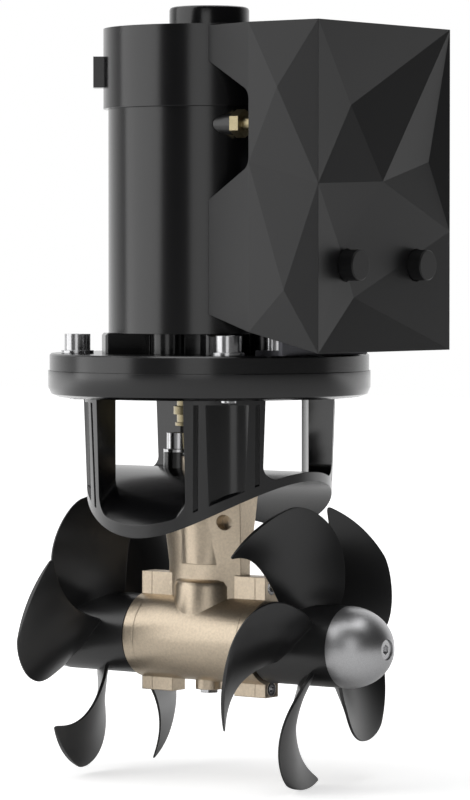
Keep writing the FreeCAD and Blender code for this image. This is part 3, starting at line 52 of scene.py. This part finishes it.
def add_camera():
    """Camera at the picture's angle; gives the directions towards it and to its right."""
    towards = Vector((math.sin(VIEW_SIDE), -math.cos(VIEW_SIDE), 0))
    right = Vector((math.cos(VIEW_SIDE), math.sin(VIEW_SIDE), 0))
    data = bpy.data.cameras.new("Camera")
    data.lens = SENSOR * LENS_LENGTHS
    data.sensor_width = SENSOR
    camera = bpy.data.objects.new("Camera", data)
    camera.location = towards * CAMERA_DISTANCE + Vector((0, 0, CAMERA_HEIGHT))
    look = -towards + AIM_RIGHT * right - Vector((0, 0, AIM_DOWN))
    camera.rotation_euler = look.to_track_quat("-Z", "Y").to_euler()
    bpy.context.scene.collection.objects.link(camera)
    bpy.context.scene.camera = camera
    return towards, right


TOWARDS, RIGHT = add_camera()

# ---------------------------------------------------------------------------------------------
# Materials
# ---------------------------------------------------------------------------------------------
GRAIN_DETAIL = 3.0
EDGE_SAMPLES = 6                    # rays that soften an edge
MOTTLE_SPAN = (0.3, 0.7)            # stretch of the noise over which the tone changes
MOTTLE_SHARE = 0.08                 # how far a tone is from the colour
PLAIN_RELIEF = (900, 0.00001)       # noise scale and height in metres
PLAIN_EDGE = 0.0004                 # radius to which edges are shaded round


def grain(material, scale, height, edge):
    """Fine surface relief from noise in the object's own space, over softly rounded edges."""
    nodes, links = material.node_tree.nodes, material.node_tree.links
    place = nodes.new("ShaderNodeTexCoord")
    noise = nodes.new("ShaderNodeTexNoise")
    noise.inputs["Scale"].default_value = scale
    noise.inputs["Detail"].default_value = GRAIN_DETAIL
    bump = nodes.new("ShaderNodeBump")
    bump.inputs["Distance"].default_value = height
    bump.inputs["Strength"].default_value = 1.0
    links.new(place.outputs["Object"], noise.inputs["Vector"])
    links.new(noise.outputs["Fac"], bump.inputs["Height"])
    bevel = nodes.new("ShaderNodeBevel")
    bevel.samples = EDGE_SAMPLES
    bevel.inputs["Radius"].default_value = edge
    links.new(bevel.outputs["Normal"], bump.inputs["Normal"])
    links.new(bump.outputs["Normal"], nodes["Principled BSDF"].inputs["Normal"])
    return noise


def mottle(material, noise, light, dark):
    """Base colour that wanders between two tones with the noise."""
    nodes, links = material.node_tree.nodes, material.node_tree.links
    tones = nodes.new("ShaderNodeValToRGB")
    for element, place, colour in zip(tones.color_ramp.elements, MOTTLE_SPAN, (dark, light)):
        element.position = place
        element.color = (*colour, 1)
    links.new(noise.outputs["Fac"], tones.inputs["Fac"])
    links.new(tones.outputs["Color"], nodes["Principled BSDF"].inputs["Base Color"])


def finish(slot, colour, roughness, metallic=0.0, relief=PLAIN_RELIEF, gloss=0.5, edge=PLAIN_EDGE):
    """Material of a slot; gloss is the strength of its clear reflection, edge its rounding."""
    material = bpy.data.materials.new(slot)
    material.use_nodes = True
    shader = material.node_tree.nodes["Principled BSDF"]
    shader.inputs["Base Color"].default_value = (*colour, 1)
    shader.inputs["Roughness"].default_value = roughness
    shader.inputs["Metallic"].default_value = metallic
    shader.inputs["Specular IOR Level"].default_value = gloss
    noise = grain(material, *relief, edge)
    light, dark = [[c * share for c in colour] for share in (1 + MOTTLE_SHARE, 1 - MOTTLE_SHARE)]
    mottle(material, noise, light, dark)
    return material


LOOKS = {
    "black_enamel": dict(colour=(0.004, 0.004, 0.0045), roughness=0.20, relief=(700, 0.000012),
                         gloss=0.75),
    "cover_plastic": dict(colour=(0.007, 0.007, 0.0075), roughness=0.40, relief=(2600, 0.00002)),
    "black_plastic": dict(colour=(0.006, 0.006, 0.0065), roughness=0.33, relief=(1500, 0.00001),
                          gloss=0.85),
    "bright_steel": dict(colour=(0.62, 0.62, 0.63), roughness=0.20, metallic=1.0,
                         relief=(1200, 0.00001)),
    "dark_steel": dict(colour=(0.10, 0.10, 0.11), roughness=0.42, metallic=1.0,
                       relief=(1200, 0.00001)),
    "bronze": dict(colour=(0.66, 0.555, 0.425), roughness=0.34, metallic=0.95,
                   relief=(650, 0.00012), edge=0.0009),
    "brass": dict(colour=(0.42, 0.36, 0.22), roughness=0.35, metallic=1.0),
    "yellow_zinc": dict(colour=(0.45, 0.38, 0.22), roughness=0.35, metallic=1.0,
                        relief=(900, 0.00002)),
    "zinc": dict(colour=(0.60, 0.60, 0.61), roughness=0.385, metallic=1.0, relief=(1600, 0.00003)),
    "copper": dict(colour=(0.60, 0.30, 0.18), roughness=0.35, metallic=1.0),
    "carbon": dict(colour=(0.03, 0.03, 0.03), roughness=0.5),
    "rubber": dict(colour=(0.015, 0.015, 0.015), roughness=0.55),
}
FINISHES = {slot: finish(slot, **look) for slot, look in LOOKS.items()}

WELD_GAP = 1e-6
SMOOTH_ANGLE = math.radians(28)
FACET_ANGLE = math.radians(3)       # the cover's facets meet at very flat edges


def dress(name, slot):
    """Gives a CAD node its finish and smooth shading with crisp edges."""
    item = frame["nodes"][name]
    item.data.materials.clear()
    item.data.materials.append(FINISHES[slot])
    item.data.polygons.foreach_set("use_smooth", [True] * len(item.data.polygons))
    weld = item.modifiers.new("Weld", "WELD")
    weld.merge_threshold = WELD_GAP
    split = item.modifiers.new("Edges", "EDGE_SPLIT")
    split.split_angle = FACET_ANGLE if name == "electronics_cover" else SMOOTH_ANGLE
    split.use_edge_sharp = False


for part in frame["record"]["subparts"]:
    dress(part["node"], part["material_slot"])

# ---------------------------------------------------------------------------------------------
# Stage: pale floor, white surroundings and soft lights
# ---------------------------------------------------------------------------------------------
WHITE = (1, 1, 1, 1)
FLOOR_REACH = 6.0                   # from the middle of the floor to its edge
FLOOR_COLOUR = (0.85, 0.85, 0.85, 1)
FLOOR_ROUGHNESS = 0.9
FLOOR_GLOW = 0.6                    # under the object, where the lamps light the floor most
FLOOR_GLOW_SPAN = (0.15, 0.9)       # distances over which the glow rises to 1
FLOOR_FADE_SPAN = (-0.9, 0.0)       # metres towards the camera over which metal sees it fade
WORLD_FADE_SPAN = (-0.98, -0.12)    # the same for the world, from right behind to the side
WORLD_DARKEST = 0.02                # what metal sees of the world in front
WORLD_FILL = 0.30                   # light that the world throws on plain surfaces
LAMP_AIM = Vector((0, 0, 0.15))


def ramp(tree, value, span, start, stop):
    """Smooth step of a value from start to stop over a span."""
    step = tree.nodes.new("ShaderNodeMapRange")
    step.interpolation_type = "SMOOTHSTEP"
    limits = zip(("From Min", "From Max", "To Min", "To Max"), (*span, start, stop))
    for name, number in limits:
        step.inputs[name].default_value = number
    tree.links.new(value, step.inputs["Value"])
    return step.outputs["Result"]


def combined(tree, operation, first, second):
    """Result of a sum, product or the like of two values."""
    node = tree.nodes.new("ShaderNodeMath")
    node.operation = operation
    tree.links.new(first, node.inputs[0])
    tree.links.new(second, node.inputs[1])
    return node.outputs[0]


def seen_directly(tree):
    """The light path, and 1 for rays from the camera, off metal and through glass."""
    path = tree.nodes.new("ShaderNodeLightPath")
    total = path.outputs["Is Camera Ray"]
    for name in ("Is Glossy Ray", "Is Transmission Ray"):
        total = combined(tree, "MAXIMUM", total, path.outputs[name])
    return path, total


def brightness(tree, place, span, darkest):
    """Whether a ray sees a place directly, and how bright it is to that ray.

    It is 1 to the camera. To metal it fades from 1 behind the object to the darkest in front."""
    along = tree.nodes.new("ShaderNodeVectorMath")
    along.operation = "DOT_PRODUCT"
    along.inputs[1].default_value = TOWARDS
    tree.links.new(place, along.inputs[0])
    path, direct = seen_directly(tree)
    behind = ramp(tree, along.outputs["Value"], span, 1.0, darkest)
    return direct, combined(tree, "MAXIMUM", path.outputs["Is Camera Ray"], behind)


def add_floor():
    """White floor that keeps the object's shadow; its glow makes up for the lamps' fall-off."""
    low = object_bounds()[0][2]
    mesh = bpy.data.meshes.new("Floor")
    signs = ((-1, -1), (1, -1), (1, 1), (-1, 1))
    corners = [(x * FLOOR_REACH, y * FLOOR_REACH, low) for x, y in signs]
    mesh.from_pydata(corners, [], [(0, 1, 2, 3)])
    floor = bpy.data.objects.new("Floor", mesh)
    bpy.context.scene.collection.objects.link(floor)
    material = bpy.data.materials.new("Floor")
    material.use_nodes = True
    tree = material.node_tree
    shader = tree.nodes["Principled BSDF"]
    shader.inputs["Base Color"].default_value = FLOOR_COLOUR
    shader.inputs["Roughness"].default_value = FLOOR_ROUGHNESS
    shader.inputs["Specular IOR Level"].default_value = 0.0
    shader.inputs["Emission Color"].default_value = WHITE
    place = tree.nodes.new("ShaderNodeTexCoord")
    distance = tree.nodes.new("ShaderNodeVectorMath")
    distance.operation = "LENGTH"
    tree.links.new(place.outputs["Object"], distance.inputs[0])
    glow = ramp(tree, distance.outputs["Value"], FLOOR_GLOW_SPAN, FLOOR_GLOW, 1.0)
    direct, share = brightness(tree, place.outputs["Object"], FLOOR_FADE_SPAN, 0.0)
    glow = combined(tree, "MULTIPLY", glow, combined(tree, "MULTIPLY", direct, share))
    tree.links.new(glow, shader.inputs["Emission Strength"])
    mesh.materials.append(material)


def add_world():
    """Plain white to the camera; metal sees the white too, where it lies behind the object."""
    world = bpy.data.worlds.new("World")
    bpy.context.scene.world = world
    world.use_nodes = True
    tree = world.node_tree
    nodes, links = tree.nodes, tree.links
    dim = nodes["Background"]
    dim.inputs["Color"].default_value = WHITE
    dim.inputs["Strength"].default_value = WORLD_FILL
    white = nodes.new("ShaderNodeBackground")
    white.inputs["Color"].default_value = WHITE
    place = nodes.new("ShaderNodeTexCoord")
    direct, share = brightness(tree, place.outputs["Generated"], WORLD_FADE_SPAN, WORLD_DARKEST)
    links.new(share, white.inputs["Strength"])
    mix = nodes.new("ShaderNodeMixShader")
    links.new(direct, mix.inputs["Fac"])
    links.new(dim.outputs["Background"], mix.inputs[1])
    links.new(white.outputs["Background"], mix.inputs[2])
    links.new(mix.outputs["Shader"], nodes["World Output"].inputs["Surface"])


def add_light(name, bearing, height, distance, size, power):
    """A soft lamp; its bearing in degrees is 0 towards the camera and grows to its right."""
    data = bpy.data.lights.new(name, "AREA")
    data.shape = "RECTANGLE"
    data.size, data.size_y = size
    data.energy = power
    lamp = bpy.data.objects.new(name, data)
    turn = math.radians(bearing)
    lamp.location = (RIGHT * math.sin(turn) + TOWARDS * math.cos(turn)) * distance
    lamp.location.z = height
    aim = LAMP_AIM - lamp.location
    lamp.rotation_euler = aim.to_track_quat("-Z", "Y").to_euler()
    bpy.context.scene.collection.objects.link(lamp)


add_floor()
add_world()
add_light("Left", bearing=-82, height=0.80, distance=1.5, size=(1.7, 2.5), power=19)
add_light("Front", bearing=-10, height=0.70, distance=2.6, size=(1.1, 1.6), power=5)
add_light("Top", bearing=0, height=1.9, distance=0.2, size=(1.4, 1.4), power=12)
bpy.context.scene.view_settings.view_transform = "Standard"
